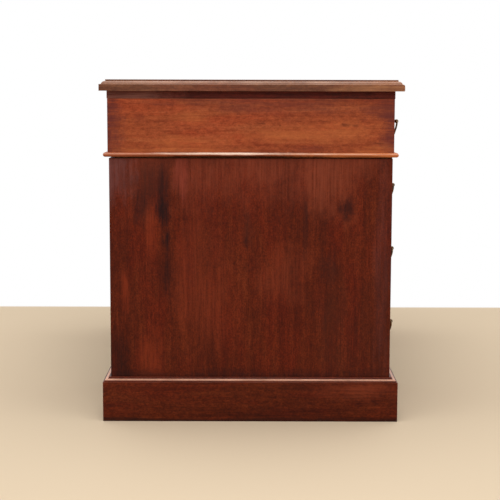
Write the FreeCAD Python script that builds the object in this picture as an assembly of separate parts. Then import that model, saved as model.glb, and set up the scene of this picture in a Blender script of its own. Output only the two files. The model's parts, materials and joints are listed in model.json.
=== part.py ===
import FreeCAD, Part
import math
import os

from FreeCAD import Vector

# Twin-pedestal writing desk with nine drawers. Lengths are millimetres and +Z is up.
# The front faces -Y, and the origin is on the floor below the middle of the drawer section.

# Whole desk
overall_height = 770.0
top_length = 1220.0
top_depth = 675.0

# Writing top: a mitred and moulded border round a ground panel that carries the leather
top_thickness = 25.0
top_overhang = 16.6
front_overhang = 20.2
border_width = 78.0
edge_nosing_height = 14.4
edge_nosing_inset = 4.7
edge_nosing_rise = 0.9
edge_quirk_inset = 13.5
edge_quirk_depth = 3.3
edge_ovolo_bulge = 1.8
leather_thickness = 1.2
leather_sink = 0.3
leather_margin = 0.4

# Subframe: dark mitred rails under the top, a little proud of the frieze
subframe_height = 17.0
subframe_width = 55.0
subframe_projection = 0.8

# Frieze: the drawer section under the subframe
frieze_height = 129.0
frieze_end_thickness = 20.0
frieze_back_thickness = 18.0
frieze_rail_height = 24.0
frieze_rail_depth = 55.0
frieze_floor_thickness = 12.0
partition_thickness = 20.0
kicker_width = 26.0

# Bead moulding round the foot of the frieze
bead_height = 10.0
bead_projection = 9.3

# Pedestals
pedestal_width = 360.0
pedestal_inset = 2.5
seat_gap = 3.0
side_thickness = 18.0
side_floor_gap = 10.0
housing_depth = 6.0
pedestal_back_thickness = 12.0
back_rebate = 8.0
pedestal_top_thickness = 15.0
pedestal_bottom_thickness = 22.0
divider_thickness = 15.0
divider_depth = 50.0
runner_width = 34.0
lipping_thickness = 6.0

# Plinth
plinth_height = 100.0
plinth_thickness = 17.2
plinth_moulding_height = 10.0
plinth_quirk = 2.6
glue_block_width = 30.0

# Drawers
bottom_drawer_share = 0.379
middle_drawer_share = 0.358
front_thickness = 20.0
front_gap = 1.0
front_recess = 4.0
running_gap = 0.3
front_lap = 6.0
lining_thickness = 11.0
lining_drop = 3.0
drawer_back_thickness = 10.0
drawer_back_drop = 6.0
drawer_bottom_thickness = 6.0
drawer_bottom_rise = 8.0
groove_depth = 5.0
rear_space = 30.0
tail_pitch = 52.0
fewest_tails = 3
tail_root_share = 0.50
tail_tip_share = 0.72

# Drawer stops, glued behind the fronts
stop_length = 32.0
stop_width = 12.0
stop_height = 6.0
stop_place_share = 0.22

# Swing handles
post_spacing = 76.0
post_reach = 20.0
ball_radius = 4.6
neck_radius = 2.5
shank_radius = 2.8
shank_play = 0.2
rose_radius = 12.0
rose_crown = 3.2
rose_crown_radius = 4.2
nut_width = 9.0
nut_thickness = 3.5
rod_radius = 2.2
pin_play = 0.1
pin_shoulder = 1.2
bail_drop = 34.0
bail_lean = 12.5
turned_sides = 8
rod_sides = 6
shank_sides = 4
bend_step = 45.0
centre_handle_share = 0.24
ball_belt_share = 0.87

# Radii of the bail's bends as shares of one scale, each with its turn in degrees, from the pin to the grip
bail_bend_shares = [(0.16, -90.0), (0.36, -58.0), (0.30, 38.0), (0.28, -70.0)]

# Locks and keyholes
lock_width = 56.0
lock_height = 38.0
lock_thickness = 9.0
keyhole_radius = 2.4
keyhole_slot = 2.0
keyhole_length = 9.0
keyhole_drop = 20.0
escutcheon_rim = 1.1
escutcheon_depth = 5.0

# Levels and faces that follow from the sizes above
top_low = overall_height - top_thickness
frieze_high = top_low - subframe_height
frieze_low = frieze_high - frieze_height
frieze_half_x = top_length / 2 - top_overhang
frieze_half_y = (top_depth - top_overhang - front_overhang) / 2
top_middle_y = (top_overhang - front_overhang) / 2
frieze_inner_x = frieze_half_x - frieze_end_thickness
frieze_inner_y = frieze_half_y - frieze_back_thickness
frieze_floor = frieze_low + frieze_rail_height
pedestal_outer_x = frieze_half_x - pedestal_inset
pedestal_inner_x = pedestal_outer_x - pedestal_width
pedestal_middle_x = (pedestal_outer_x + pedestal_inner_x) / 2
pedestal_half_y = frieze_half_y - pedestal_inset
pedestal_inner_y = pedestal_half_y - pedestal_back_thickness
partition_middle_x = pedestal_inner_x
pedestal_floor = plinth_height + pedestal_bottom_thickness
pedestal_ceiling = frieze_low - pedestal_top_thickness
opening_half_x = pedestal_width / 2 - side_thickness
drawer_stack = pedestal_ceiling - pedestal_floor - divider_thickness * 2
lower_divider = pedestal_floor + drawer_stack * bottom_drawer_share
upper_divider = lower_divider + divider_thickness + drawer_stack * middle_drawer_share


def board(x_low, x_high, y_low, y_high, z_low, z_high):
    """A square-edged board between its lowest and highest corners."""
    return Part.makeBox(x_high - x_low, y_high - y_low, z_high - z_low, Vector(x_low, y_low, z_low))


def save(name, solids):
    """Write one node, whose solids stay separate pieces."""
    shape = solids[0] if len(solids) == 1 else Part.makeCompound(solids)
    shape.exportStep("parts/" + name + ".step")


def outline_face(start, steps):
    """A face bounded by lines and by arcs; each step is an end point, or a middle and an end point."""
    edges = []
    here = start
    for step in steps + [(start,)]:
        if len(step) == 1:
            edges.append(Part.LineSegment(here, step[0]).toShape())
        else:
            edges.append(Part.Arc(here, step[0], step[1]).toShape())
        here = step[-1]
    return Part.Face(Part.Wire(edges))


def quarter_middle(centre, start, end):
    """The middle point of the quarter circle from start to end."""
    outward = (start - centre) + (end - centre)
    return centre + outward.normalize() * (start - centre).Length


# Mitred mouldings


def mitred_frame(length, depth, width, section):
    """Four mitred boards of one section; section(x, y) gives its face at the front outer edge."""
    boards = []
    for quarter in range(4):
        run, reach = (length, depth) if quarter % 2 == 0 else (depth, length)
        face = section(-run / 2, -reach / 2)
        stick = face.extrude(Vector(run, 0, 0))
        low = stick.BoundBox.ZMin
        corners = [
            Vector(-run / 2, -reach / 2, low),
            Vector(run / 2, -reach / 2, low),
            Vector(run / 2 - width, -reach / 2 + width, low),
            Vector(-run / 2 + width, -reach / 2 + width, low),
        ]
        plan = Part.Face(Part.makePolygon(corners + corners[:1]))
        mitred = stick.common(plan.extrude(Vector(0, 0, stick.BoundBox.ZLength)))
        mitred.rotate(Vector(0, 0, 0), Vector(0, 0, 1), 90 * quarter)
        boards += mitred.Solids
    return boards


def top_section(x, y):
    """Border board: square nosing, sloped fillet, ovolo and a quirk up to the flat."""
    nosing = top_low + edge_nosing_height
    fillet = Vector(x, y + edge_nosing_inset, nosing + edge_nosing_rise)
    quirk = Vector(x, y + edge_quirk_inset, overall_height - edge_quirk_depth)
    chord = quirk - fillet
    bulge = Vector(0, -chord.z, chord.y).normalize() * edge_ovolo_bulge
    middle = (fillet + quirk) / 2 + bulge
    return outline_face(Vector(x, y, top_low), [
        (Vector(x, y, nosing),),
        (fillet,),
        (middle, quirk),
        (Vector(x, y + edge_quirk_inset, overall_height),),
        (Vector(x, y + border_width, overall_height),),
        (Vector(x, y + border_width, top_low),),
    ])


def bead_section(x, y):
    """Bead strip: a full round nose in front of a flat back."""
    radius = bead_height / 2
    centre = Vector(x, y + radius, frieze_low + radius)
    low = Vector(x, y + radius, frieze_low)
    nose = Vector(x, y, frieze_low + radius)
    high = Vector(x, y + radius, frieze_low + bead_height)
    return outline_face(low, [
        (quarter_middle(centre, low, nose), nose),
        (quarter_middle(centre, nose, high), high),
        (Vector(x, y + bead_projection, frieze_low + bead_height),),
        (Vector(x, y + bead_projection, frieze_low),),
    ])


def plinth_section(x, y):
    """Plinth board: plain face, quirk, quarter round and hollow up to the pedestal's side."""
    radius = plinth_moulding_height / 2
    shoulder = plinth_height - plinth_moulding_height
    start = Vector(x, y + plinth_quirk, shoulder)
    turn = Vector(x, y + plinth_quirk + radius, shoulder + radius)
    end = Vector(x, y + plinth_quirk + radius + radius, plinth_height)
    round_centre = Vector(x, turn.y, shoulder)
    hollow_centre = Vector(x, turn.y, plinth_height)
    return outline_face(Vector(x, y, 0), [
        (Vector(x, y, shoulder),),
        (start,),
        (quarter_middle(round_centre, start, turn), turn),
        (quarter_middle(hollow_centre, turn, end), end),
        (Vector(x, y + plinth_thickness, plinth_height),),
        (Vector(x, y + plinth_thickness, 0),),
    ])


# Writing top


def make_top():
    border = mitred_frame(top_length, top_depth, border_width, top_section)
    for piece in border:
        piece.translate(Vector(0, top_middle_y, 0))
    save("top_frame", border)
    half_x = top_length / 2 - border_width
    front = top_middle_y - top_depth / 2 + border_width
    back = top_middle_y + top_depth / 2 - border_width
    panel_high = overall_height - leather_sink - leather_thickness
    save("top_panel", [board(-half_x, half_x, front, back, top_low, panel_high)])
    skin_x = half_x - leather_margin
    save("leather_skiver", [
        board(-skin_x, skin_x, front + leather_margin, back - leather_margin,
              panel_high, panel_high + leather_thickness)
    ])


# Subframe and frieze


def subframe_section(x, y):
    """Subframe rail: a plain square-edged section."""
    return outline_face(Vector(x, y, frieze_high), [
        (Vector(x, y, top_low),),
        (Vector(x, y + subframe_width, top_low),),
        (Vector(x, y + subframe_width, frieze_high),),
    ])


def make_subframe():
    length = (frieze_half_x + subframe_projection) * 2
    depth = (frieze_half_y + subframe_projection) * 2
    inner_y = depth / 2 - subframe_width
    rails = mitred_frame(length, depth, subframe_width, subframe_section)
    reach = partition_thickness / 2 + kicker_width
    for side in (-1, 1):
        middle = side * partition_middle_x
        rails.append(board(middle - reach, middle + reach, -inner_y, inner_y, frieze_high, top_low))
    save("top_subframe", rails)


def make_frieze():
    front = -frieze_half_y
    inner_x = frieze_inner_x
    rail_back = front + frieze_rail_depth
    save("frieze_end_left", [
        board(-frieze_half_x, -inner_x, front, frieze_half_y, frieze_low, frieze_high)
    ])
    save("frieze_end_right", [
        board(inner_x, frieze_half_x, front, frieze_half_y, frieze_low, frieze_high)
    ])
    save("frieze_back", [
        board(-inner_x, inner_x, frieze_inner_y, frieze_half_y, frieze_low, frieze_high)
    ])
    save("frieze_lower_rail", [
        board(-inner_x, inner_x, front, rail_back, frieze_low, frieze_floor)
    ])
    floor_low = frieze_floor - frieze_floor_thickness
    save("frieze_floor_board", [
        board(-inner_x, inner_x, rail_back, frieze_inner_y, floor_low, frieze_floor)
    ])
    length = (frieze_half_x + bead_projection) * 2
    depth = (frieze_half_y + bead_projection) * 2
    save("base_bead", mitred_frame(length, depth, bead_projection, bead_section))


def make_partitions(stops):
    """The two uprights between the frieze drawers, and the drawers' stop blocks beside them."""
    partitions = []
    for side in (-1, 1):
        middle = side * partition_middle_x
        half = partition_thickness / 2
        partitions.append(board(middle - half, middle + half, -frieze_half_y, frieze_inner_y,
                                frieze_floor, frieze_high))
    save("frieze_partitions", partitions + stops)


# Pedestals


def lipped(x_low, x_high, y_back, low, high):
    """A pine board across a pedestal, and the mahogany lipping glued along its front edge."""
    front = -pedestal_half_y
    seam = front + lipping_thickness
    return [board(x_low, x_high, front, seam, low, high), board(x_low, x_high, seam, y_back, low, high)]


def make_pedestal(name, middle):
    """One pedestal carcass round the line x = middle; the boards are housed in the two sides."""
    half = pedestal_width / 2
    front = -pedestal_half_y
    inner = half - side_thickness
    housed = inner + housing_depth
    panel = inner + back_rebate
    side_high = frieze_low - seat_gap
    back = board(middle - panel, middle + panel, pedestal_inner_y, pedestal_half_y, side_floor_gap, side_high)
    ends = []
    for low, high in ((plinth_height, pedestal_floor), (pedestal_ceiling, frieze_low)):
        ends += lipped(middle - housed, middle + housed, pedestal_inner_y, low, high)
    dividers = []
    for level in (lower_divider, upper_divider):
        high = level + divider_thickness
        rail_back = front + divider_depth
        dividers += lipped(middle - housed, middle + housed, rail_back, level, high)
        for side in (-1, 1):
            faces = sorted((middle + side * housed, middle + side * (housed - runner_width)))
            dividers.append(board(*faces, rail_back, pedestal_inner_y, level, high))
    seated = Part.makeCompound([back] + ends + dividers)
    for side in (-1, 1):
        faces = sorted((middle + side * half, middle + side * inner))
        blank = board(*faces, front, pedestal_half_y, side_floor_gap, side_high)
        place = "outer" if side * middle > 0 else "inner"
        save("pedestal_" + name + "_" + place + "_side", blank.cut(seated).Solids)
    save("pedestal_" + name + "_back", [back])
    save("pedestal_" + name + "_top_and_bottom", ends)
    stops = make_pedestal_drawers(name, middle)
    save("pedestal_" + name + "_dividers", dividers + stops)
    make_plinth(name, middle, inner)


def make_plinth(name, middle, inner):
    """Mitred plinth boards round the pedestal's foot, and the glue blocks in its inner corners."""
    length = pedestal_width + plinth_thickness * 2
    depth = (pedestal_half_y + plinth_thickness) * 2
    pieces = mitred_frame(length, depth, plinth_thickness, plinth_section)
    for piece in pieces:
        piece.translate(Vector(middle, 0, 0))
    for side in (-1, 1):
        faces = sorted((middle + side * inner, middle + side * (inner - glue_block_width)))
        for low in (-pedestal_half_y, pedestal_inner_y - glue_block_width):
            pieces.append(board(*faces, low, low + glue_block_width, side_floor_gap, plinth_height))
    save("pedestal_" + name + "_plinth", pieces)


# Handles


def ring(centre, radius, axis, sides):
    """Corners of a regular outline round an axis, on the circle of this radius."""
    up = Vector(0, 1, 0) if abs(axis.y) < 0.5 else Vector(0, 0, 1)
    other = axis.cross(up)
    corners = []
    for index in range(sides):
        angle = 2 * math.pi * (index + 0.5) / sides
        corners.append(centre + up * (radius * math.cos(angle)) + other * (radius * math.sin(angle)))
    return corners


def faceted(rings):
    """A closed solid of flat faces through a row of rings with as many corners each."""
    faces = [Part.Face(Part.makePolygon(end + end[:1])) for end in (rings[0], rings[-1])]
    for near, far in zip(rings, rings[1:]):
        for index in range(len(near)):
            corners = [near[index - 1], near[index], far[index], far[index - 1]]
            faces.append(Part.Face(Part.makePolygon(corners + corners[:1])))
    solid = Part.Solid(Part.Shell(faces))
    if solid.Volume < 0:
        solid.reverse()
    return solid


def turned(place, profile):
    """A turned brass piece along -Y; profile lists distances from the drawer front and radii."""
    axis = Vector(0, -1, 0)
    return faceted([ring(place + axis * out, radius, axis, turned_sides) for out, radius in profile])


def rod(start, end, radius, sides):
    """A straight faceted rod, or the tool for its hole."""
    axis = (end - start).normalize()
    return faceted([ring(start, radius, axis, sides), ring(end, radius, axis, sides)])


def bail_stations(scale):
    """Points along one half of the bail with their headings, from the pin's inner end to the grip."""
    shoulder = Vector(post_spacing / 2 + ball_radius + pin_shoulder, 0, 0)
    stations = [(Vector(post_spacing / 2 - ball_radius, 0, 0), 0.0), (shoulder, 0.0)]
    for share, turn in bail_bend_shares:
        here, heading = stations[-1]
        radius = math.copysign(share * scale, turn)
        centre = here + Vector(-math.sin(heading), 0, math.cos(heading)) * radius
        steps = math.ceil(abs(turn) / bend_step)
        for step in range(1, steps + 1):
            swung = heading + math.radians(turn) * step / steps
            stations.append((centre - Vector(-math.sin(swung), 0, math.cos(swung)) * radius, swung))
    return stations


def make_bail(middle):
    """The swan-neck bail: one bent rod, symmetrical about its middle, leaning in towards the drawer."""
    unit_drop = -bail_stations(1.0)[-1][0].z
    half = bail_stations((bail_drop - rod_radius) / unit_drop)
    mirrored = [(Vector(-point.x, 0, point.z), -heading) for point, heading in reversed(half)]
    rings = []
    for point, heading in half + mirrored:
        axis = Vector(math.cos(heading), 0, math.sin(heading))
        rings.append(ring(middle + point, rod_radius, axis, rod_sides))
    bail = faceted(rings)
    bail.rotate(middle, Vector(1, 0, 0), bail_lean)
    return bail


def make_post(place):
    """Rose, post with its square shank, and nut of one end of a handle, at the drawer front's face."""
    belt = ball_radius * ball_belt_share
    head = turned(place, [
        (rose_crown, neck_radius),
        (post_reach - ball_radius, neck_radius),
        (post_reach - ball_radius / 2, belt),
        (post_reach + ball_radius / 2, belt),
        (post_reach + ball_radius, ball_radius / 2),
    ])
    pin = place + Vector(0, -post_reach, 0)
    reach = Vector(ball_radius, 0, 0)
    hole_radius = (rod_radius + pin_play) / math.cos(math.pi / rod_sides)
    head = head.cut(rod(pin - reach, pin + reach, hole_radius, rod_sides))
    crown = place + Vector(0, -rose_crown, 0)
    back = place.y + front_thickness
    tip = Vector(place.x, back + nut_thickness, place.z)
    shank = rod(crown, tip, shank_radius, shank_sides)
    rose = turned(place, [(0, rose_radius), (rose_crown, rose_crown_radius)])
    half = nut_width / 2
    nut = board(place.x - half, place.x + half, back, tip.y, place.z - half, place.z + half)
    return [head.fuse(shank).removeSplitter(), rose.cut(shank), nut.cut(shank)]


# Locks


def keyhole(place, depth, grow):
    """The keyhole's outline, a round eye above a slot, as a solid going back from the front's face."""
    eye = rod(place, place + Vector(0, depth, 0), keyhole_radius + grow, rod_sides)
    half = keyhole_slot / 2 + grow
    low = place.z - keyhole_length - grow
    slot = board(place.x - half, place.x + half, place.y, place.y + depth, low, place.z)
    return eye.fuse(slot).removeSplitter()


def make_lock(middle_x, front, high):
    """Lock case let into the back of a drawer front, the keyhole through to it, and its brass lining."""
    back = front + front_thickness
    face = back - lock_thickness
    half = lock_width / 2
    place = Vector(middle_x, front, high - keyhole_drop)
    case = board(middle_x - half, middle_x + half, face, back, high - lock_height, high)
    mouth = keyhole(place, face - front, 0)
    lining = keyhole(place, escutcheon_depth, escutcheon_rim).cut(mouth)
    return case, lining, mouth


# Drawers


def tail_points(root, tip, low, high, tails):
    """Dovetail outline along a board's end, from low to high, with half pins at both ends."""
    pitch = (high - low) / tails
    points = []
    for index in range(tails):
        middle = low + pitch * (index + 0.5)
        narrow = pitch * tail_root_share / 2
        wide = pitch * tail_tip_share / 2
        points += [(root, middle - narrow), (tip, middle - wide), (tip, middle + wide), (root, middle + narrow)]
    return [(root, low)] + points + [(root, high)]


def make_drawer(name, low_x, high_x, front, back_limit, low, high, handles):
    """One drawer with its front's face at y = front; handles lists its handles' places as shares of the width."""
    low_x += front_gap
    high_x -= front_gap
    low += running_gap
    high -= front_gap
    inner = front + front_thickness
    rear = back_limit - rear_space
    width = high_x - low_x
    bottom_low = low + drawer_bottom_rise
    bottom_high = bottom_low + drawer_bottom_thickness
    side_high = high - lining_drop
    back_high = side_high - drawer_back_drop
    back_face = rear - drawer_back_thickness
    groove_x = lining_thickness - groove_depth
    bottom = board(low_x + groove_x, high_x - groove_x, inner - groove_depth, rear, bottom_low, bottom_high)

    tails = max(fewest_tails, round((side_high - low) / tail_pitch))
    outline = tail_points(inner, front + front_lap, low, side_high, tails)
    outline += [(rear, side_high), (rear, back_high)]
    outline += reversed(tail_points(back_face, rear, bottom_high, back_high, tails - 1))
    outline += [(rear, bottom_high), (rear, low)]
    corners = [Vector(low_x, y, z) for y, z in outline]
    lining = Part.Face(Part.makePolygon(corners + corners[:1])).extrude(Vector(lining_thickness, 0, 0))
    other = lining.copy()
    other.translate(Vector(width - lining_thickness, 0, 0))
    sides = [lining, other]
    back = board(low_x, high_x, back_face, rear, bottom_high, back_high).cut(Part.makeCompound(sides))

    middle_x = (low_x + high_x) / 2
    middle_z = (low + high) / 2
    lock, escutcheon, mouth = make_lock(middle_x, front, high)
    face = board(low_x, high_x, front, inner, low, high)
    fittings = [lock, escutcheon]
    holes = []
    for index, share in enumerate(handles):
        middle = Vector(low_x + width * share, front, middle_z)
        for side in (-1, 1):
            place = middle + Vector(side * post_spacing / 2, 0, 0)
            fittings += make_post(place)
            through = place + Vector(0, front_thickness, 0)
            holes.append(rod(place, through, shank_radius + shank_play, shank_sides))
        suffix = "" if len(handles) == 1 else ("_left", "_right")[index]
        save(name + "_bail" + suffix, [make_bail(middle + Vector(0, -post_reach, 0))])
    tools = sides + [bottom, lock, escutcheon, mouth] + holes
    save(name + "_front", face.cut(Part.makeCompound(tools)).Solids)
    linings = [side.cut(bottom) for side in sides]
    save(name + "_box", linings + [back, bottom])
    save(name + "_fittings", fittings)


def make_stops(low_x, high_x, front, level):
    """Two stop blocks behind a closed drawer front, under the drawer's bottom."""
    face = front + front_thickness + running_gap
    blocks = []
    for share in (stop_place_share, 1 - stop_place_share):
        middle = low_x + (high_x - low_x) * share
        half = stop_length / 2
        blocks.append(board(middle - half, middle + half, face, face + stop_width, level, level + stop_height))
    return blocks


def make_frieze_drawers():
    stops = []
    centre_half = partition_middle_x - partition_thickness / 2
    outer_low = partition_middle_x + partition_thickness / 2
    row = [
        ("left", -frieze_inner_x, -outer_low, [0.5]),
        ("centre", -centre_half, centre_half, [centre_handle_share, 1 - centre_handle_share]),
        ("right", outer_low, frieze_inner_x, [0.5]),
    ]
    for name, low_x, high_x, handles in row:
        make_drawer("frieze_" + name + "_drawer", low_x, high_x, -frieze_half_y, frieze_inner_y,
                    frieze_floor, frieze_high, handles)
        stops += make_stops(low_x, high_x, -frieze_half_y, frieze_floor)
    return stops


def make_pedestal_drawers(side, middle):
    stops = []
    low_x = middle - opening_half_x
    high_x = middle + opening_half_x
    front = front_recess - pedestal_half_y
    tiers = [
        ("bottom", pedestal_floor, lower_divider),
        ("middle", lower_divider + divider_thickness, upper_divider),
        ("top", upper_divider + divider_thickness, pedestal_ceiling),
    ]
    for tier, low, high in tiers:
        make_drawer(side + "_" + tier + "_drawer", low_x, high_x, front, pedestal_inner_y, low, high, [0.5])
        stops += make_stops(low_x, high_x, front, low)
    return stops


os.makedirs("parts", exist_ok=True)
make_top()
make_subframe()
make_frieze()
make_partitions(make_frieze_drawers())
make_pedestal("left", -pedestal_middle_x)
make_pedestal("right", pedestal_middle_x)
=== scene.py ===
import json
import math
import random

import bmesh
import bpy
from mathutils import Matrix, Vector

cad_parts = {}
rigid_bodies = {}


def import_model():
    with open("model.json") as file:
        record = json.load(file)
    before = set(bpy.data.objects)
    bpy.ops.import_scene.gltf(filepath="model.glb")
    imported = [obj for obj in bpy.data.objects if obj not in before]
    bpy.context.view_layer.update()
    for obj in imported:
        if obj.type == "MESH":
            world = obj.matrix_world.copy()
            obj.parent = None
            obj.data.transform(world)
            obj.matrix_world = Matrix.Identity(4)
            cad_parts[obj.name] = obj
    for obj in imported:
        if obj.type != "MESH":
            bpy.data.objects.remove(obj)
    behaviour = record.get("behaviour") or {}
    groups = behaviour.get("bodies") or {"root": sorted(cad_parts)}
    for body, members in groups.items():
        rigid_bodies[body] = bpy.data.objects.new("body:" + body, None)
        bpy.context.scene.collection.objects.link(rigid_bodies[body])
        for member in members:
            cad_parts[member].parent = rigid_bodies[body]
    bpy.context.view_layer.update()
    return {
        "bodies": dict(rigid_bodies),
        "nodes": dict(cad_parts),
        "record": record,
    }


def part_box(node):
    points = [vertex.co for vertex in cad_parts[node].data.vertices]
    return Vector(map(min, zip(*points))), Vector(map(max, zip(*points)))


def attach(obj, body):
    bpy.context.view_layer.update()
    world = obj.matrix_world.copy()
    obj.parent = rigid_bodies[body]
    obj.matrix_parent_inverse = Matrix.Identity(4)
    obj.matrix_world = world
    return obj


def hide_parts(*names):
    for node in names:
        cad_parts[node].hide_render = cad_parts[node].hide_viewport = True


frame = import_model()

# View of the desk
# The desk is seen square on to its left end, from three metres away and a little under the
# height of its top, through a long lens that is turned down by seven degrees.
lens_length = 96.5
sensor_side = 36.0
camera_place = Vector((-3.580, 0.0013, 0.765))
camera_down = math.radians(7.147)
camera_roll = math.radians(0.15)

camera = bpy.data.objects.new("camera", bpy.data.cameras.new("camera"))
camera.data.lens = lens_length
camera.data.sensor_width = sensor_side
camera.location = camera_place
turned_to_desk = Matrix.Rotation(-math.pi / 2, 4, "Z")
turned_down = Matrix.Rotation(math.pi / 2 - camera_down, 4, "X")
camera.rotation_euler = (turned_to_desk @ turned_down @ Matrix.Rotation(camera_roll, 4, "Z")).to_euler()
bpy.context.collection.objects.link(camera)
bpy.context.scene.camera = camera
bpy.context.scene.view_settings.view_transform = "Standard"

# Floor and light
# A plain pale floor that turns white where a wall would stand behind the desk's far end. The
# white room lights the desk evenly from all sides, a broad soft light hangs over it, and a
# smaller one before its left end lights the mouldings.
floor_reach = 14.0
floor_end = 0.952
floor_blur = 0.012
floor_colour = (214, 194, 166)
room_light = 0.66
overhead_size = (3.4, 2.6)
overhead_place = Vector((-0.25, 0, 2.75))
overhead_aim = Vector((-0.25, 0, 0))
overhead_power = 58.0
end_light_size = (0.7, 0.5)
end_light_place = Vector((-2.2, -0.05, 1.75))
end_light_aim = Vector((-0.6, -0.05, 0.45))
end_light_power = 9.0


def tint(red, green, blue):
    """A colour written as 0 to 255, as the linear colour that a shader takes."""
    parts = [value / 255 for value in (red, green, blue)]
    return tuple(p / 12.92 if p < 0.04045 else ((p + 0.055) / 1.055) ** 2.4 for p in parts) + (1.0,)


def finish_step(finish, kind, feeds=None, **settings):
    """One more node of a finish, with its own settings and what is fed to its inputs."""
    step = finish.node_tree.nodes.new("ShaderNode" + kind)
    for name, value in settings.items():
        setattr(step, name, value)
    for name, value in (feeds or {}).items():
        if isinstance(value, bpy.types.NodeSocket):
            finish.node_tree.links.new(value, step.inputs[name])
        else:
            step.inputs[name].default_value = value
    return step


def blended(finish, first, second, operation="ADD"):
    """Two patterns, or a pattern and a number, put together."""
    return finish_step(finish, "Math", {0: first, 1: second}, operation=operation).outputs[0]


def new_finish(name):
    """An empty finish with its surface shader."""
    finish = bpy.data.materials.new(name)
    finish.use_nodes = True
    return finish, finish.node_tree.nodes["Principled BSDF"]


floor_finish, floor_shader = new_finish("pale_floor")
floor_shader.inputs["Base Color"].default_value = tint(*floor_colour)
floor_shader.inputs["Roughness"].default_value = 0.85
floor_shader.inputs["Specular IOR Level"].default_value = 0.1
floor_place = finish_step(floor_finish, "TexCoord").outputs["Object"]
floor_x = finish_step(floor_finish, "SeparateXYZ", {0: floor_place}).outputs["X"]
beyond = finish_step(floor_finish, "MapRange", {
    "Value": floor_x, "From Min": floor_end - floor_blur, "From Max": floor_end + floor_blur,
}).outputs[0]


def seen_rays(finish):
    """One where the background is looked at, straight or in gloss or glass, and zero where it lights."""
    rays = finish_step(finish, "LightPath").outputs
    looked = blended(finish, rays["Is Camera Ray"], rays["Is Glossy Ray"], "MAXIMUM")
    return blended(finish, looked, rays["Is Transmission Ray"], "MAXIMUM")


whitened = blended(floor_finish, beyond, seen_rays(floor_finish), "MULTIPLY")
white_wall = finish_step(floor_finish, "Emission", {"Color": (1, 1, 1, 1), "Strength": 1.0}).outputs[0]
floor_mix = finish_step(floor_finish, "MixShader", {0: whitened, 1: floor_shader.outputs[0], 2: white_wall})
floor_finish.node_tree.links.new(
    floor_mix.outputs[0], floor_finish.node_tree.nodes["Material Output"].inputs["Surface"])

floor_mesh = bpy.data.meshes.new("floor")
floor_grid = bmesh.new()
bmesh.ops.create_grid(floor_grid, x_segments=2, y_segments=2, size=floor_reach)
floor_grid.to_mesh(floor_mesh)
floor = bpy.data.objects.new("floor", floor_mesh)
floor_mesh.materials.append(floor_finish)
bpy.context.collection.objects.link(floor)

room = bpy.data.worlds.new("room")
room.use_nodes = True
room_shine = room.node_tree.nodes["Background"]
room_shine.inputs["Color"].default_value = (1, 1, 1, 1)
room_shine.inputs["Strength"].default_value = room_light
white_room = finish_step(room, "Background", {"Color": (1, 1, 1, 1), "Strength": 1.0}).outputs[0]
around = finish_step(room, "MixShader", {0: seen_rays(room), 1: room_shine.outputs[0], 2: white_room})
room.node_tree.links.new(around.outputs[0], room.node_tree.nodes["World Output"].inputs["Surface"])
bpy.context.scene.world = room


def hang_light(name, place, aim, size, power):
    """A soft box hung in the room and turned towards a place on the desk."""
    lamp = bpy.data.lights.new(name, "AREA")
    lamp.shape = "RECTANGLE"
    lamp.size, lamp.size_y = size
    lamp.energy = power
    box = bpy.data.objects.new(name, lamp)
    box.location = place
    box.rotation_euler = (aim - place).to_track_quat("-Z", "Y").to_euler()
    box.visible_camera = False
    bpy.context.collection.objects.link(box)


hang_light("overhead_light", overhead_place, overhead_aim, overhead_size, overhead_power)
hang_light("end_light", end_light_place, end_light_aim, end_light_size, end_light_power)

# Plinths
# Each pedestal stands on four mahogany boards, mitred at the corners and moulded along their
# upper edge, with pine glue blocks rubbed into the corners behind them.
plinth_arris = 0.0007
plinth_tones = ((76, 24, 8), (101, 37, 12), (120, 50, 21))
plinth_worn = (150, 86, 64)
plinth_rubbed_highlight = (252, 192, 160)
plinth_glow = (142, 64, 38)
plinth_scuff = (44, 14, 8)
darker_foot = (30, 12, 9)
plinth_moulding = (0.0925, 0.0962)
sharp_turn = math.radians(28)
same_corner = 0.00001


def separate_boards(node):
    """The boards of a CAD node, each a closed mesh of its own; a board's triangles follow each other."""
    source = frame["nodes"][node].data
    first = 0
    open_edges = set()
    for face in source.polygons:
        corners = [tuple(round(value, 6) for value in source.vertices[index].co) for index in face.vertices]
        for edge in zip(corners, corners[1:] + corners[:1]):
            open_edges ^= {frozenset(edge)}
        if open_edges:
            continue
        board = bmesh.new()
        board.from_mesh(source)
        others = [other for other in board.faces if not first <= other.index <= face.index]
        bmesh.ops.delete(board, geom=others, context="FACES")
        bmesh.ops.remove_doubles(board, verts=board.verts, dist=same_corner)
        bmesh.ops.dissolve_limit(
            board, angle_limit=math.radians(1), verts=board.verts, edges=board.edges)
        first = face.index + 1
        yield board


def take_off_arrises(board, arris):
    """Round a board's sharp edges by rubbing them down, and mark the rubbed strips as worn."""
    worn = board.faces.layers.float.new("worn")
    sharp = [edge for edge in board.edges if edge.is_manifold and edge.calc_face_angle() > sharp_turn]
    strips = set()
    if arris and sharp:
        strips = set(bmesh.ops.bevel(
            board, geom=sharp, offset=arris, offset_type="OFFSET", segments=2, profile=0.5,
            affect="EDGES", clamp_overlap=True, material=-1)["faces"])
    for face in board.faces:
        face.smooth = True
        face[worn] = 1.0 if face in strips else 0.0
    for edge in board.edges:
        sides = {face in strips for face in edge.link_faces}
        edge.smooth = len(sides) == 1 and edge.calc_face_angle(0) < sharp_turn


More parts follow.
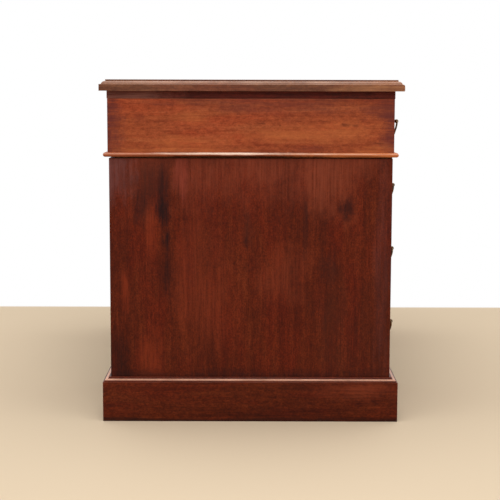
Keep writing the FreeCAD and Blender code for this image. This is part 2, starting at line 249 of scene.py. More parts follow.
def lay_grain(board, chance, lie):
    """Run the grain along a board: along its longest side, or along the axis that lie names."""
    grain = board.verts.layers.float_vector.new("grain")
    tone = board.verts.layers.float.new("tone")
    spread = [[corner.co[axis] for corner in board.verts] for axis in range(3)]
    reach = [max(places) - min(places) for places in spread]
    along = "xyz".index(lie) if lie else reach.index(max(reach))
    across, through = [axis for axis in range(3) if axis != along]
    start = Vector(chance.uniform(0, 9) for _ in range(3))
    depth = chance.random()
    for corner in board.verts:
        corner[grain] = Vector((corner.co[along], corner.co[across], corner.co[through])) + start
        corner[tone] = depth


def finish_boards(node, finish, body, arris, lie=None, only=None, skip=(), word="wood", wear=None):
    """Stand finished boards in a CAD node's place: all of them, only some, or all but some."""
    chance = random.Random(node + word)
    joined = bmesh.new()
    for number, board in enumerate(separate_boards(node)):
        if number in skip or only and number not in only:
            board.free()
            continue
        if wear:
            wear(board)
        take_off_arrises(board, arris)
        lay_grain(board, chance, lie)
        part = bpy.data.meshes.new("board")
        board.to_mesh(part)
        joined.from_mesh(part)
        board.free()
        bpy.data.meshes.remove(part)
    mesh = bpy.data.meshes.new(node + "_" + word)
    joined.to_mesh(mesh)
    joined.free()
    # The flat normals that came with the CAD triangles would hide the rounded arrises.
    if "custom_normal" in mesh.attributes:
        mesh.attributes.remove(mesh.attributes["custom_normal"])
    piece = bpy.data.objects.new(node + "_" + word, mesh)
    bpy.context.collection.objects.link(piece)
    mesh.materials.clear()
    mesh.materials.append(finish)
    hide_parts(node)
    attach(piece, body)


def glaze(finish, share, under, over, blend="MIX"):
    """One colour laid over another, by this share."""
    mix = finish_step(finish, "Mix", {0: share, 6: under, 7: over}, data_type="RGBA", blend_type=blend)
    return mix.outputs[2]


def feed(finish, name, pattern):
    """Let a pattern drive one of a finish's own settings."""
    finish.node_tree.links.new(pattern, finish.node_tree.nodes["Principled BSDF"].inputs[name])


def glaze_over(finish, share, over, blend="MIX"):
    """One more colour over all that a finish has so far."""
    base = finish.node_tree.nodes["Principled BSDF"].inputs["Base Color"]
    feed(finish, "Base Color", glaze(finish, share, base.links[0].from_socket, over, blend))


def cloud(finish, place, scale, detail=3.0, roughness=0.55, distortion=0.0):
    """An uneven pattern whose size differs along, across and through the board."""
    sized = finish_step(finish, "VectorMath", {0: place, 1: scale}, operation="MULTIPLY").outputs[0]
    feeds = {"Vector": sized, "Scale": 1.0, "Detail": detail}
    feeds.update({"Roughness": roughness, "Distortion": distortion})
    return finish_step(finish, "TexNoise", feeds).outputs[0]


def span(finish, value, low, high, to_low=0.0, to_high=1.0):
    """A pattern's values from low to high, spread over another range."""
    feeds = {"Value": value, "From Min": low, "From Max": high, "To Min": to_low, "To Max": to_high}
    return finish_step(finish, "MapRange", feeds).outputs[0]


pore_shade = (0.22, 0.16, 0.13, 1)
fleck_shade = (0.62, 0.55, 0.52, 1)
speck_shade = (0.62, 0.56, 0.54, 1)
blush_shade = (1.14, 0.84, 0.84, 1)
murk_shade = (0.66, 0.55, 0.55, 1)
board_shade = (0.70, 0.66, 0.64, 1)
# Painted shade for the undersides of mouldings.
painted_underside_shade = (0.20, 0.14, 0.12, 1)


def wood_finish(name, tones, figure=(1.1, 13, 13), gloss=(0.34, 0.50), pores=0.5,
                worn_colour=(150, 84, 52), worn=0.5, specks=0.6):
    """Wood: broad figure, ribbons, streaks, pores, flecks, specks, cloudy old polish and worn arrises."""
    finish, shader = new_finish(name)
    grain = finish_step(finish, "Attribute", attribute_name="grain").outputs["Vector"]
    place = finish_step(finish, "TexCoord").outputs["Object"]
    ribbons = (figure[0] * 3, figure[1] * 4.5, figure[2] * 4.5)
    fine_streaks = (9, 150, 150)
    hair_streaks = (22, 420, 420)
    bands = 0.0
    for size, share in ((figure, 0.30), (ribbons, 0.24), (fine_streaks, 0.24), (hair_streaks, 0.22)):
        streak = cloud(finish, grain, size, roughness=0.62, distortion=0.5)
        bands = blended(finish, bands, blended(finish, streak, share, "MULTIPLY"))
    ramp = finish_step(finish, "ValToRGB", {0: span(finish, bands, 0.38, 0.62)})
    ramp.color_ramp.elements[0].color = tint(*tones[0])
    ramp.color_ramp.elements[1].color = tint(*tones[2])
    middle = ramp.color_ramp.elements.new(0.5)
    middle.color = tint(*tones[1])
    feed(finish, "Base Color", ramp.outputs[0])
    pore = cloud(finish, grain, (75, 1500, 1500), detail=2.0)
    pits = span(finish, pore, 0.60, 0.70)
    glaze_over(finish, blended(finish, pits, pores, "MULTIPLY"), pore_shade, "MULTIPLY")
    fleck = cloud(finish, grain, (80, 150, 150), detail=2.0)
    glaze_over(finish, span(finish, fleck, 0.35, 0.66, 0, 0.75), fleck_shade, "MULTIPLY")
    speck = cloud(finish, grain, (230, 330, 330), detail=2.0)
    glaze_over(finish, span(finish, speck, 0.40, 0.64, 0, specks), speck_shade, "MULTIPLY")
    blush = cloud(finish, grain, (5, 24, 24), detail=4.0, distortion=0.4)
    glaze_over(finish, span(finish, blush, 0.44, 0.64, 0, 0.7), blush_shade, "MULTIPLY")
    murk = span(finish, cloud(finish, place, (7, 7, 7), detail=5.0, roughness=0.6), 0.38, 0.72)
    glaze_over(finish, blended(finish, murk, 0.45, "MULTIPLY"), murk_shade, "MULTIPLY")
    tone = finish_step(finish, "Attribute", attribute_name="tone").outputs["Fac"]
    glaze_over(finish, span(finish, tone, 0, 1, 0.0, 0.3), board_shade, "MULTIPLY")
    rubbed = finish_step(finish, "Attribute", attribute_name="worn").outputs["Fac"]
    patchy = span(finish, cloud(finish, place, (24, 24, 24), detail=4.0), 0.38, 0.62, 0.15, worn)
    glaze_over(finish, blended(finish, rubbed, patchy, "MULTIPLY"), tint(*worn_colour))
    dull = blended(finish, blended(finish, murk, 0.5, "MULTIPLY"), blended(finish, pits, 0.5, "MULTIPLY"))
    feed(finish, "Roughness", span(finish, dull, 0, 1, *gloss))
    shader.inputs["Specular IOR Level"].default_value = 0.12
    height = blended(
        finish, blended(finish, pits, -1.0, "MULTIPLY"), blended(finish, streak, 0.6, "MULTIPLY"))
    relief = finish_step(finish, "Bump", {"Strength": 0.35, "Distance": 0.00022, "Height": height})
    feed(finish, "Normal", relief.outputs[0])
    return finish


def rub_and_light_moulding(finish, colour, strength, slopes, heights=(0.0, 9.0), shade_under=0.0, thinnest=0.35):
    """Rubbed polish and painted highlight on a moulding's upward slopes between two heights, painted shade
    under it.
    """
    place = finish_step(finish, "TexCoord")
    slope = finish_step(finish, "SeparateXYZ", {0: place.outputs["Normal"]}).outputs["Z"]
    height = finish_step(finish, "SeparateXYZ", {0: place.outputs["Object"]}).outputs["Z"]
    low, high = slopes
    middle = (low + high) / 2
    lowest, highest = heights
    fade = 0.0008
    turned_up = blended(
        finish, span(finish, slope, low, middle), span(finish, slope, high, middle), "MINIMUM")
    patches = cloud(finish, place.outputs["Object"], (14, 14, 14), detail=5.0)
    patchy = span(finish, patches, 0.36, 0.64, thinnest, 1.0)
    above = span(finish, height, lowest, lowest + fade)
    below = span(finish, height, highest, highest - fade, 0, strength)
    reached = blended(finish, above, below, "MULTIPLY")
    share = blended(finish, blended(finish, turned_up, patchy, "MULTIPLY"), reached, "MULTIPLY")
    # Rubbed polish and a painted highlight on the upward slopes.
    glaze_over(finish, share, tint(*colour))
    # Painted shade on the downward slopes.
    glaze_over(finish, span(finish, slope, -0.10, -0.60, 0, shade_under), painted_underside_shade, "MULTIPLY")


def stain_and_light_patch(finish, middle, reach, strength, colour, drawn=0.5):
    """A soft-edged patch of stain, painted light or shade, drawn out along the grain; middle and reach are
    (y, z) on the desk.
    """
    place = finish_step(finish, "TexCoord").outputs["Object"]
    grain = finish_step(finish, "Attribute", attribute_name="grain").outputs["Vector"]
    away = finish_step(finish, "VectorMath", {0: place, 1: (0, *middle)}, operation="SUBTRACT").outputs[0]
    fit = (0, 1 / reach[0], 1 / reach[1])
    sized = finish_step(finish, "VectorMath", {0: away, 1: fit}, operation="MULTIPLY").outputs[0]
    far = finish_step(finish, "VectorMath", {0: sized}, operation="LENGTH").outputs[1]
    ragged = cloud(finish, place, (0, 0.8 / reach[0] + 8, 0.8 / reach[1] + 4), detail=6.0, roughness=0.7)
    far = blended(finish, far, span(finish, ragged, 0.3, 0.7, -0.45, 0.45))
    streaks = cloud(finish, grain, (9, 230, 230), detail=3.0, roughness=0.7)
    fibres = span(finish, streaks, 0.35, 0.65, 1 - drawn, 1 + drawn)
    share = blended(finish, span(finish, far, 0.3, 1.0, strength, 0.0), fibres, "MULTIPLY")
    glaze_over(finish, share, tint(*colour))


plinth_finish = wood_finish(
    "plinth_mahogany", plinth_tones, figure=(0.9, 16, 16), worn_colour=plinth_worn, specks=1.0)
stain_and_light_patch(plinth_finish, (-0.235, 0.070), (0.100, 0.026), 0.35, plinth_glow)
stain_and_light_patch(plinth_finish, (-0.06, 0.014), (0.15, 0.022), 0.32, plinth_scuff)
# Darker towards the floor along the foot of the boards.
stain_and_light_patch(plinth_finish, (0.0, 0.0), (2.0, 0.0095), 0.75, darker_foot, drawn=0.2)
# Rubbed polish and a painted highlight along the moulding.
rub_and_light_moulding(plinth_finish, plinth_rubbed_highlight, 0.85, (0.45, 1.50), heights=plinth_moulding, thinnest=0.6)
for side in ("left", "right"):
    node = "pedestal_" + side + "_plinth"
    finish_boards(node, plinth_finish, "carcass", plinth_arris)

# Pedestal sides and backs
# Broad panels glued up from three mahogany boards with the grain upright. Years of polish have
# gone dark and cloudy on them, and old stains and knots show in the left pedestal's outer side.
side_arris = 0.0012
side_tones = ((86, 27, 9), (110, 40, 14), (129, 54, 25))
side_worn = (128, 66, 40)
glue_lines = (0.2707, -0.2812)
outer_board_shades = ((0.84, 0.80, 0.80, 1), (0.90, 0.88, 0.90, 1))
dark_stain_and_shade = (36, 11, 11)
brown_haze = (58, 24, 17)
violet_haze = (114, 66, 62)
red_glow = (142, 54, 26)
warm_tone_and_top_light = (136, 62, 40)
side_knot = (50, 15, 10)
side_finish = wood_finish(
    "pedestal_mahogany", side_tones, figure=(0.8, 9, 9), worn_colour=side_worn, specks=1.0)
end_finish = wood_finish(
    "pedestal_end_mahogany", side_tones, figure=(0.8, 9, 9), worn_colour=side_worn, specks=1.0)
# Each patch, a stain or painted light or shade, has its middle and its reach along y and z, its strength
# and its colour.
for middle, reach, strength, colour in (
    # Painted light: the upper part of the side lighter, where light falls from above.
    ((0.0, 0.66), (0.60, 0.20), 0.40, warm_tone_and_top_light),
    ((-0.15, 0.543), (0.06, 0.06), 0.18, warm_tone_and_top_light),
    ((-0.03, 0.575), (0.08, 0.04), 0.30, warm_tone_and_top_light),
    ((0.108, 0.547), (0.035, 0.06), 0.25, warm_tone_and_top_light),
    ((0.110, 0.300), (0.080, 0.190), 0.30, (142, 58, 32)),
    ((-0.073, 0.333), (0.080, 0.085), 0.26, (142, 62, 36)),
    ((-0.235, 0.190), (0.120, 0.160), 0.20, (44, 20, 15)),
    ((0.307, 0.575), (0.055, 0.10), 0.70, violet_haze),
    ((0.322, 0.583), (0.040, 0.026), 0.60, (126, 76, 72)),
    ((-0.298, 0.36), (0.022, 0.34), 0.18, violet_haze),
    ((-0.180, 0.560), (0.080, 0.120), 0.30, (146, 70, 46)),
    ((0.152, 0.565), (0.024, 0.070), 0.45, (146, 64, 48)),
    ((-0.185, 0.220), (0.034, 0.150), 0.35, (70, 28, 15)),
    ((0.222, 0.425), (0.020, 0.08), 0.30, red_glow),
    ((0.283, 0.300), (0.012, 0.07), 0.45, red_glow),
    ((0.228, 0.150), (0.040, 0.08), 0.32, red_glow),
    ((0.225, 0.545), (0.060, 0.060), 0.50, brown_haze),
    ((0.195, 0.530), (0.018, 0.075), 0.42, dark_stain_and_shade),
    ((0.196, 0.478), (0.019, 0.050), 0.92, dark_stain_and_shade),
    ((0.190, 0.412), (0.013, 0.028), 0.80, dark_stain_and_shade),
    ((0.188, 0.340), (0.014, 0.080), 0.50, dark_stain_and_shade),
    ((0.248, 0.498), (0.024, 0.060), 0.62, dark_stain_and_shade),
    ((0.006, 0.440), (0.016, 0.060), 0.42, brown_haze),
    ((-0.122, 0.440), (0.008, 0.090), 0.50, dark_stain_and_shade),
    ((-0.173, 0.352), (0.026, 0.050), 0.40, brown_haze),
    ((0.300, 0.140), (0.040, 0.090), 0.50, dark_stain_and_shade),
    # Dirt and painted shade along the foot of the side, above the plinth.
    ((0.0, 0.100), (0.60, 0.020), 0.45, dark_stain_and_shade),
):
    stain_and_light_patch(end_finish, middle, reach, strength, colour)
for middle, reach, strength in (
    ((0.010, 0.408), (0.012, 0.014), 0.50),
    ((-0.2150, 0.488), (0.022, 0.030), 0.85),
    ((-0.2160, 0.461), (0.010, 0.009), 0.50),
):
    stain_and_light_patch(end_finish, middle, reach, strength, side_knot, drawn=0.12)
for finish in (side_finish, end_finish):
    place = finish_step(finish, "TexCoord").outputs["Object"]
    width = finish_step(finish, "SeparateXYZ", {0: place}).outputs["Y"]
    for line, colour in zip(glue_lines, outer_board_shades):
        outside = blended(finish, width, line, "GREATER_THAN" if line > 0 else "LESS_THAN")
        glaze_over(finish, outside, colour, "MULTIPLY")
for side in ("left", "right"):
    outer = end_finish if side == "left" else side_finish
    for board, finish in (("outer_side", outer), ("inner_side", side_finish), ("back", side_finish)):
        node = "pedestal_" + side + "_" + board
        finish_boards(node, finish, "carcass", side_arris, lie="z")

# Inside woodwork
# Top and bottom boards, divider rails with their runners and stops, the board under the frieze
# drawers and the ground of the top: pine, planed but never polished, gone brown with age. Where
# boards and rails show between the pedestal drawers, mahogany lippings are glued on.
pine_arris = 0.0008
pine_tones = ((126, 84, 46), (160, 116, 70), (184, 142, 94))
pine_worn = (176, 134, 90)
lipping_arris = 0.0005
lipping_numbers = {"top_and_bottom": (0, 2), "dividers": (0, 4)}
pine_finish = wood_finish(
    "aged_pine", pine_tones, figure=(1.3, 24, 24), gloss=(0.62, 0.8), pores=0.2, worn_colour=pine_worn)
for node in ("frieze_floor_board", "top_panel"):
    finish_boards(node, pine_finish, "carcass", pine_arris)
for side in ("left", "right"):
    for group, lippings in lipping_numbers.items():
        node = "pedestal_" + side + "_" + group
        finish_boards(node, pine_finish, "carcass", pine_arris, skip=lippings)
        finish_boards(
            node, side_finish, "carcass", lipping_arris, only=lippings, word="lipping")

# Frieze
# The drawer section's ends and back are wide mahogany boards with the grain level, redder and
# brighter than the pedestals below, with a few knots and scratches in the left end.
frieze_arris = 0.0009
frieze_tones = ((152, 69, 39), (172, 85, 48), (189, 103, 62))
frieze_worn = (176, 104, 66)
frieze_knot = (92, 38, 20)
frieze_haze_and_shade = (100, 44, 38)
frieze_stain = (112, 44, 28)
amber_tone_and_light = (190, 106, 58)
frieze_finish = wood_finish(
    "frieze_mahogany", frieze_tones, figure=(1.4, 26, 26), worn_colour=frieze_worn, specks=0.55)
frieze_end_finish = wood_finish(
    "frieze_end_mahogany", frieze_tones, figure=(1.4, 26, 26), worn_colour=frieze_worn, specks=0.55)
for middle, reach, strength, colour in (
    ((0.318, 0.655), (0.040, 0.12), 0.80, frieze_haze_and_shade),
    ((-0.318, 0.665), (0.035, 0.12), 0.75, frieze_haze_and_shade),
    ((-0.290, 0.705), (0.060, 0.030), 0.60, frieze_haze_and_shade),
    # Painted shade: the frieze darker along its top, under the overhanging top.
    ((-0.02, 0.722), (0.32, 0.022), 0.50, frieze_haze_and_shade),
    ((-0.100, 0.704), (0.200, 0.016), 0.30, frieze_haze_and_shade),
    ((0.306, 0.700), (0.030, 0.035), 0.40, frieze_haze_and_shade),
    ((-0.300, 0.630), (0.030, 0.022), 0.40, frieze_haze_and_shade),
    ((-0.125, 0.618), (0.050, 0.009), 0.35, frieze_haze_and_shade),
    ((0.150, 0.631), (0.120, 0.020), 0.32, amber_tone_and_light),
    ((0.14, 0.687), (0.060, 0.018), 0.32, amber_tone_and_light),
    ((-0.10, 0.648), (0.14, 0.026), 0.35, amber_tone_and_light),
    ((-0.215, 0.655), (0.055, 0.030), 0.30, amber_tone_and_light),
    # Painted light: the foot of the frieze lightened where shade gathers above the bead.
    ((0.16, 0.611), (0.18, 0.010), 0.50, amber_tone_and_light),
    ((-0.29, 0.612), (0.07, 0.018), 0.40, amber_tone_and_light),
    ((0.250, 0.687), (0.020, 0.014), 0.45, frieze_stain),
    ((-0.083, 0.685), (0.018, 0.012), 0.35, frieze_stain),
):
    stain_and_light_patch(frieze_end_finish, middle, reach, strength, colour)
for middle, reach, strength in (
    ((-0.2088, 0.6707), (0.012, 0.006), 0.65),
    ((-0.2330, 0.6690), (0.008, 0.005), 0.50),
    ((-0.0205, 0.6735), (0.011, 0.0028), 0.60),
    ((-0.0645, 0.669), (0.0028, 0.0028), 0.85),
    ((-0.286, 0.6293), (0.022, 0.0016), 0.7),
):
    stain_and_light_patch(frieze_end_finish, middle, reach, strength, frieze_knot, drawn=0.12)
for node in ("frieze_back", "frieze_lower_rail", "frieze_partitions"):
    finish_boards(node, frieze_finish, "carcass", frieze_arris)
finish_boards("frieze_end_left", frieze_end_finish, "carcass", frieze_arris)
finish_boards("frieze_end_right", frieze_finish, "carcass", frieze_arris)

# Bead round the foot of the frieze
# Four half-round mahogany strips, mitred and pinned on. Rubbed polish and a painted highlight lie on
# their rounded tops, brightest in the middle and dimmer and warmer at the ends, and painted shade lies
# under them. They have no arris to take off.
bead_arris = 0.0
bead_tones = ((126, 54, 24), (163, 85, 46), (190, 112, 72))
bead_rubbed_highlight = (255, 212, 186)
bead_dim_highlight_end = (178, 96, 62)
bead_warm_highlight_end = (216, 126, 74)
bead_middle_highlight = (255, 230, 208)
bead_finish = wood_finish("bead_mahogany", bead_tones, figure=(2.2, 60, 60), gloss=(0.22, 0.34))
# Rubbed polish and painted highlight on the tops, painted shade under them; the highlight is dimmer and
# warmer at the ends and brightest along the middle.
rub_and_light_moulding(bead_finish, bead_rubbed_highlight, 0.9, (0.0, 0.90), shade_under=1.0)
stain_and_light_patch(bead_finish, (0.29, 0.597), (0.13, 0.10), 0.60, bead_dim_highlight_end)
stain_and_light_patch(bead_finish, (-0.27, 0.597), (0.20, 0.10), 0.60, bead_warm_highlight_end)
stain_and_light_patch(bead_finish, (0.05, 0.6085), (0.17, 0.0055), 0.60, bead_middle_highlight)
finish_boards("base_bead", bead_finish, "carcass", bead_arris)

# Subframe
# Four dark-stained rails, mitred, lift the top clear of the drawers and stand a little proud of
# the frieze. Two more cross the desk over the partitions and keep the open drawers from tipping.
subframe_arris = 0.0008
subframe_tones = ((65, 18, 10), (97, 32, 18), (127, 50, 32))
subframe_worn = (140, 78, 56)
subframe_haze = (146, 94, 82)
subframe_finish = wood_finish(
    "subframe_mahogany", subframe_tones, figure=(1.6, 40, 40), gloss=(0.4, 0.55),
    worn_colour=subframe_worn, worn=0.8)
stain_and_light_patch(subframe_finish, (0.29, 0.745), (0.16, 0.06), 0.42, subframe_haze)
finish_boards("top_subframe", subframe_finish, "carcass", subframe_arris)

# Writing top
# A border of four mitred mahogany boards with a worked edge: a square nosing, a round above it
# and a quirk up to the flat. Hands and dusters have worn the mouldings pale, and a painted highlight
# lies on their upward slopes.
top_arris = 0.0008
top_tones = ((90, 47, 28), (120, 72, 46), (148, 98, 68))
top_worn = (196, 148, 118)
top_rubbed_highlight = (224, 178, 150)
top_moulding = (0.0, 0.7690)
top_faded = (160, 106, 70)
top_dulled = (128, 84, 62)
nosing_height = 0.0144
nosing_wear = {nosing_height: 0.0045, 0.0: 0.0024}
top_finish = wood_finish(
    "top_mahogany", top_tones, figure=(1.6, 34, 34), worn_colour=top_worn, worn=0.9)
# Rubbed polish and a painted highlight on the moulding's upward slopes.
rub_and_light_moulding(top_finish, top_rubbed_highlight, 0.42, (0.10, 1.40), heights=top_moulding)
top_finish.node_tree.nodes["Principled BSDF"].inputs["Specular IOR Level"].default_value = 0.25
stain_and_light_patch(top_finish, (-0.33, 0.750), (0.20, 0.022), 0.65, top_faded)
stain_and_light_patch(top_finish, (0.27, 0.7640), (0.11, 0.008), 0.45, top_dulled)


def rub_front_nosing(board):
    """Wear the nosing of the front board round, and the corners of the end boards that meet it."""
    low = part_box("top_frame")[0]
    front_board = max(corner.co.y for corner in board.verts) < 0
    for height, wear in nosing_wear.items():
        level = low.z + height
        on_front = [corner for corner in board.verts if abs(corner.co.y - low.y) < 0.0001]
        worn = [corner for corner in on_front if abs(corner.co.z - level) < 0.0002]
        long_edges = [edge for edge in board.edges if edge.verts[0] in worn and edge.verts[1] in worn]
        bmesh.ops.bevel(
            board, geom=long_edges if front_board else worn, offset=wear, offset_type="OFFSET", segments=4,
            profile=0.5, affect="EDGES" if front_board else "VERTICES", clamp_overlap=True, material=-1)


finish_boards("top_frame", top_finish, "carcass", top_arris, wear=rub_front_nosing)

# Leather
# A thin waxed skiver, laid and pasted on the ground panel inside the border. Two blind fillets are
# tooled round it, with a worn gilt one between them: each step is a width, a drop and a finish.
leather_low, leather_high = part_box("leather_skiver")
fillet_steps = (
    (0.0200, 0.0, 0), (0.0004, -0.0003, 2), (0.0008, 0.0, 2), (0.0004, 0.0003, 2), (0.0020, 0.0, 0),
    (0.0004, -0.0003, 1), (0.0026, 0.0, 1), (0.0004, 0.0003, 1), (0.0020, 0.0, 0),
    (0.0004, -0.0003, 2), (0.0008, 0.0, 2), (0.0004, 0.0003, 2),
)
leather_green, leather_light, leather_rubbed = (36, 48, 27), (52, 66, 38), (84, 88, 54)
blind_dark, blind_light = (24, 30, 18), (44, 54, 32)
gilt_bright, gilt_gone = (150, 116, 62), (52, 58, 34)
blind_finish, blind_shader = new_finish("blind_tooled_leather")
blind_place = finish_step(blind_finish, "TexCoord").outputs["Object"]
blind_wear = span(blind_finish, cloud(blind_finish, blind_place, (30, 30, 30), detail=4.0), 0.4, 0.65)
feed(blind_finish, "Base Color", glaze(blind_finish, blind_wear, tint(*blind_dark), tint(*blind_light)))
feed(blind_finish, "Roughness", span(blind_finish, blind_wear, 0, 1, 0.4, 0.6))
blind_shader.inputs["Specular IOR Level"].default_value = 0.2
gilt_finish, gilt_shader = new_finish("worn_gilt")
gilt_place = finish_step(gilt_finish, "TexCoord").outputs["Object"]
gilt_flakes = cloud(gilt_finish, gilt_place, (160, 160, 160), detail=5.0, roughness=0.7)
gilt_wear = span(gilt_finish, gilt_flakes, 0.42, 0.62)
feed(gilt_finish, "Base Color", glaze(gilt_finish, gilt_wear, tint(*gilt_bright), tint(*gilt_gone)))
feed(gilt_finish, "Roughness", span(gilt_finish, gilt_wear, 0, 1, 0.35, 0.6))
gilt_shader.inputs["Metallic"].default_value = 0.35
leather_finish, leather_shader = new_finish("green_leather")
leather_place = finish_step(leather_finish, "TexCoord").outputs["Object"]
pebbles = finish_step(
    leather_finish, "TexVoronoi", {"Vector": leather_place, "Scale": 620.0}, feature="SMOOTH_F1")
mottle = cloud(leather_finish, leather_place, (9, 9, 9), detail=5.0, roughness=0.6)
mottled = span(leather_finish, mottle, 0.3, 0.7)
dyed = glaze(leather_finish, mottled, tint(*leather_green), tint(*leather_light))
rubbing = cloud(leather_finish, leather_place, (2.2, 3.4, 1), detail=4.0)
rubbed_away = span(leather_finish, rubbing, 0.45, 0.75, 0, 0.6)
feed(leather_finish, "Base Color", glaze(leather_finish, rubbed_away, dyed, tint(*leather_rubbed)))
feed(leather_finish, "Roughness", span(leather_finish, rubbing, 0.3, 0.8, 0.42, 0.62))
leather_shader.inputs["Specular IOR Level"].default_value = 0.2
pebbling = {"Strength": 0.35, "Distance": 0.0004, "Height": pebbles.outputs["Distance"]}
feed(leather_finish, "Normal", finish_step(leather_finish, "Bump", pebbling).outputs[0])

skin = bmesh.new()
bmesh.ops.create_cube(skin, size=1, matrix=Matrix.Translation((leather_low + leather_high) / 2)
                      @ Matrix.Diagonal((*(leather_high - leather_low), 1)))
upper = [face for face in skin.faces if face.normal.z > 0.5]
for width, depth, tooling in fillet_steps:
    tooled = bmesh.ops.inset_region(skin, faces=upper, thickness=width, depth=depth, use_even_offset=True)
    for face in tooled["faces"]:
        face.material_index = tooling
leather_mesh = bpy.data.meshes.new("leather_writing_surface")
skin.to_mesh(leather_mesh)
leather = bpy.data.objects.new("leather_writing_surface", leather_mesh)
for finish in (leather_finish, gilt_finish, blind_finish):
    leather_mesh.materials.append(finish)
bpy.context.collection.objects.link(leather)
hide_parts("leather_skiver")
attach(leather, "carcass")

# Drawers
# Nine drawers: mahogany fronts with the grain level, lapped onto thin oak sides by dovetails,
# with oak backs and bottoms slid into grooves. The frieze's fronts are brighter than those below.
front_arris = 0.0008
lining_arris = 0.0005
oak_tones = ((112, 78, 46), (146, 108, 68), (172, 134, 90))
oak_worn = (170, 132, 90)
front_tones = ((85, 26, 12), (122, 46, 20), (152, 68, 33))
front_worn = (150, 84, 52)
frieze_front_tones = ((116, 46, 23), (147, 67, 35), (172, 88, 49))
frieze_front_worn = (168, 98, 62)
oak_finish = wood_finish(
    "oak_lining", oak_tones, figure=(1.0, 22, 22), gloss=(0.6, 0.78), pores=0.7, worn_colour=oak_worn)
front_finish = wood_finish(
    "drawer_front_mahogany", front_tones, figure=(1.5, 20, 20), worn_colour=front_worn)
frieze_front_finish = wood_finish(
    "frieze_drawer_front_mahogany", frieze_front_tones, figure=(1.5, 20, 20), worn_colour=frieze_front_worn)
drawers = [name for name in frame["bodies"] if name.endswith("_drawer")]
for drawer in drawers:
    drawer_finish = frieze_front_finish if drawer.startswith("frieze") else front_finish
    finish_boards(drawer + "_front", drawer_finish, drawer, front_arris)
    finish_boards(drawer + "_box", oak_finish, drawer, lining_arris)

# Brass
# The handles and locks are of cast brass, turned on the lathe, filed or bent to shape. Long
# unpolished, it has gone a dark, spotted brown.
brass_bright, brass_brown, brass_spot = (112, 84, 50), (74, 54, 34), (40, 30, 22)
brass_finish, brass_shader = new_finish("old_brass")
brass_place = finish_step(brass_finish, "TexCoord").outputs["Object"]
tarnish = cloud(brass_finish, brass_place, (90, 90, 90), detail=5.0, roughness=0.65)
spots = cloud(brass_finish, brass_place, (420, 420, 420), detail=3.0)
browned = glaze(
    brass_finish, span(brass_finish, tarnish, 0.35, 0.65), tint(*brass_bright), tint(*brass_brown))
spotted = glaze(brass_finish, span(brass_finish, spots, 0.58, 0.72, 0, 0.7), browned, tint(*brass_spot))
feed(brass_finish, "Base Color", spotted)
brass_shader.inputs["Metallic"].default_value = 1.0
feed(brass_finish, "Roughness", span(brass_finish, tarnish, 0.3, 0.7, 0.18, 0.36))
pitting = finish_step(brass_finish, "Bump", {"Strength": 0.2, "Distance": 0.0002, "Height": spots})
feed(brass_finish, "Normal", pitting.outputs[0])

# Swing handles
# A swan-neck bail of bent brass rod, thickened at the grip, hangs between the ball heads of two
# turned posts. A post's shank goes through a dished rose and the drawer front to a square nut.
half_spacing = 0.038
rose_profile = ((0.0, 0.0120), (0.0009, 0.0120), (0.0015, 0.0114), (0.0019, 0.0098), (0.0025, 0.0090),
                (0.0030, 0.0062), (0.0034, 0.0046), (0.0046, 0.0042))
neck_profile = ((0.0046, 0.0034), (0.0056, 0.0029), (0.0072, 0.0025), (0.0120, 0.0024), (0.0136, 0.0028),
                (0.0142, 0.0034), (0.0148, 0.0034), (0.0154, 0.0027))
ball_profile = ((0.0160, 0.0027), (0.0168, 0.0036), (0.0180, 0.0043), (0.0194, 0.0046), (0.0206, 0.0046),
                (0.0220, 0.0043), (0.0232, 0.0034), (0.0240, 0.0022), (0.0245, 0.0010), (0.0246, 0.0))
bail_line = ((0.0330, 0.0), (0.0400, 0.0), (0.0468, -0.0002), (0.0505, -0.0040), (0.0505, -0.0105),
             (0.0452, -0.0168), (0.0402, -0.0215), (0.0385, -0.0285), (0.0335, -0.0322), (0.0240, -0.0318),
             (0.0120, -0.0318))
bail_lean, bail_bow = 0.07, 4.03
rod_radius = 0.0021
grip_radius = 0.0029
grip_reach = 0.034
grip_level = -0.03
grip_taper = 1.6
nut_side = 0.009
nut_depth = 0.0035
nut_arris = 0.0005
front_depth = 0.020
lathe_steps = 28
brass_corner = math.radians(42)


def turn_on_lathe(work, place, profile):
    """Turn a profile, of distances out from place and radii, about the line through it."""
    ring = [work.verts.new(place + Vector((radius, -out, 0))) for out, radius in profile]
    edges = [work.edges.new(pair) for pair in zip(ring, ring[1:])]
    bmesh.ops.spin(
        work, geom=ring + edges, cent=place, axis=(0, 1, 0), angle=math.tau, steps=lathe_steps,
        use_merge=True)


def finish_brass(name, work, body, node):
    """Make one brass piece on a body of all that was turned, filed or bent for it."""
    bmesh.ops.remove_doubles(work, verts=work.verts, dist=0.00002)
    bmesh.ops.recalc_face_normals(work, faces=work.faces)
    for face in work.faces:
        face.smooth = True
    for edge in work.edges:
        edge.smooth = edge.calc_face_angle(0) < brass_corner
    mesh = bpy.data.meshes.new(name)
    work.to_mesh(mesh)
    work.free()
    piece = bpy.data.objects.new(name, mesh)
    bpy.context.collection.objects.link(piece)
    mesh.materials.append(brass_finish)
    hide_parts(node)
    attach(piece, body)


def square_block(work, low, high, arris):
    """A filed block between two corners."""
    made = bmesh.ops.create_cube(work, size=1, matrix=Matrix.Translation((low + high) / 2)
                                 @ Matrix.Diagonal((*(high - low), 1)))
    edges = list({edge for corner in made["verts"] for edge in corner.link_edges})
    bmesh.ops.bevel(work, geom=edges, offset=arris, offset_type="OFFSET", segments=2, profile=0.5,
                    affect="EDGES", clamp_overlap=True, material=-1)


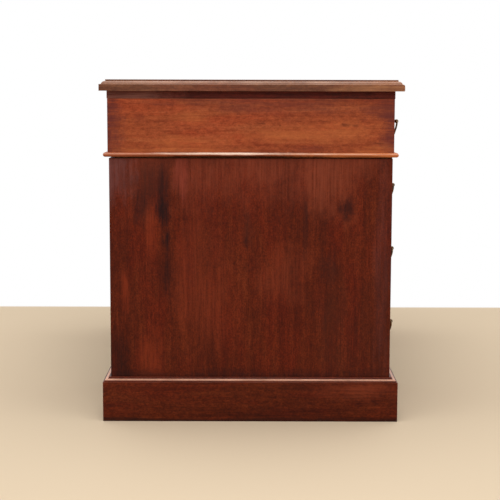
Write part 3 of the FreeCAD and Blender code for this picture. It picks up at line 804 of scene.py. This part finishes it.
def bent_rod(name, kind, line, radius, roundness):
    """A rod bent along a line of points: its curve and its spline, still to be shaped."""
    curve = bpy.data.curves.new(name, "CURVE")
    curve.dimensions = "3D"
    curve.bevel_depth = radius
    curve.bevel_resolution = roundness
    spline = curve.splines.new(kind)
    spline.points.add(len(line) - 1)
    for station, point in zip(spline.points, line):
        station.co = (*point, 1)
    return curve, spline


def add_rod(work, curve):
    """Add a bent rod to a piece's work, and clear its curve away."""
    bent = bpy.data.objects.new(curve.name + "_line", curve)
    bpy.context.collection.objects.link(bent)
    bpy.context.view_layer.update()
    work.from_mesh(bent.evaluated_get(bpy.context.evaluated_depsgraph_get()).to_mesh())
    bpy.data.objects.remove(bent)
    bpy.data.curves.remove(curve)


def bend_bail(work, name, pin):
    """Bend one bail: half its line is listed from the pin to the grip, the other half mirrors it."""
    half = [Vector((x, bail_lean * -z + bail_bow * z * z, z)) for x, z in bail_line]
    line = half + [Vector((-point.x, point.y, point.z)) for point in reversed(half)]
    curve, spline = bent_rod(name, "NURBS", [pin + point for point in line], rod_radius, 4)
    curve.use_fill_caps = True
    curve.resolution_u = 6
    for station, point in zip(spline.points, line):
        near_grip = max(0.0, 1 - abs(point.x) / grip_reach) if point.z < grip_level else 0.0
        station.radius = 1 + (grip_radius / rod_radius - 1) * min(1, near_grip * grip_taper)
    spline.order_u = 4
    spline.use_endpoint_u = True
    add_rod(work, curve)


hinges = [joint for joint in frame["record"]["behaviour"]["joints"] if joint["type"] == "hinge"]
for joint in hinges:
    bail = joint["child"]
    work = bmesh.new()
    bend_bail(work, bail + "_bent", Vector(joint["pos_m"]))
    finish_brass(bail + "_bent", work, bail, bail)

# Keyholes and locks
# A thread of brass lines each keyhole. Behind it a cased lock, let into the back of the drawer
# front, shows its cap, four screws and the drum that the key turns.
keyhole_line = ((0.0, 0.0029), (0.0022, 0.0020), (0.0028, 0.0), (0.0024, -0.0016), (0.0015, -0.0030),
                (0.0016, -0.0096))
thread_radius = 0.00055
keyhole_drop = 0.020
lock_size = Vector((0.056, 0.009, 0.038))
lock_arris = 0.0006
drum_profile = ((0.0, 0.0062), (-0.0012, 0.0062), (-0.0016, 0.0056), (-0.0016, 0.0))
screw_profile = ((0.0, 0.0024), (-0.0004, 0.0022), (-0.0008, 0.0012), (-0.0009, 0.0))
screw_places = [Vector((x, 0, z)) for x in (-0.022, 0.022) for z in (-0.012, 0.012)]


def line_keyhole(work, name, eye):
    """Bend the keyhole's brass thread round its eye and slot; half the line mirrors the other."""
    right = [Vector((x, 0, z)) for x, z in keyhole_line]
    line = right + [Vector((-point.x, 0, point.z)) for point in reversed(right[1:])]
    curve, spline = bent_rod(name, "POLY", [eye + point for point in line], thread_radius, 2)
    spline.use_cyclic_u = True
    add_rod(work, curve)


for drawer in drawers:
    front_low, front_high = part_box(drawer + "_front")
    work = bmesh.new()
    for joint in hinges:
        if joint["parent"] != drawer:
            continue
        for side in (-1, 1):
            place = Vector((joint["pos_m"][0] + side * half_spacing, front_low.y, joint["pos_m"][2]))
            for profile in (rose_profile, neck_profile, ball_profile):
                turn_on_lathe(work, place, profile)
            back = Vector((place.x, front_low.y + front_depth, place.z))
            half = Vector((nut_side / 2, 0, nut_side / 2))
            square_block(work, back - half, back + half + Vector((0, nut_depth, 0)), nut_arris)
    middle_x = (front_low.x + front_high.x) / 2
    lock_back = front_low.y + front_depth
    lock_low = Vector((middle_x - lock_size.x / 2, lock_back - lock_size.y, front_high.z - lock_size.z))
    square_block(work, lock_low, lock_low + lock_size, lock_arris)
    eye = Vector((middle_x, front_low.y, front_high.z - keyhole_drop))
    drum = Vector((eye.x, lock_back, eye.z))
    turn_on_lathe(work, drum, drum_profile)
    for place in screw_places:
        turn_on_lathe(work, drum + place, screw_profile)
    line_keyhole(work, drawer + "_keyhole", eye)
    finish_brass(drawer + "_brassware", work, drawer, drawer + "_fittings")
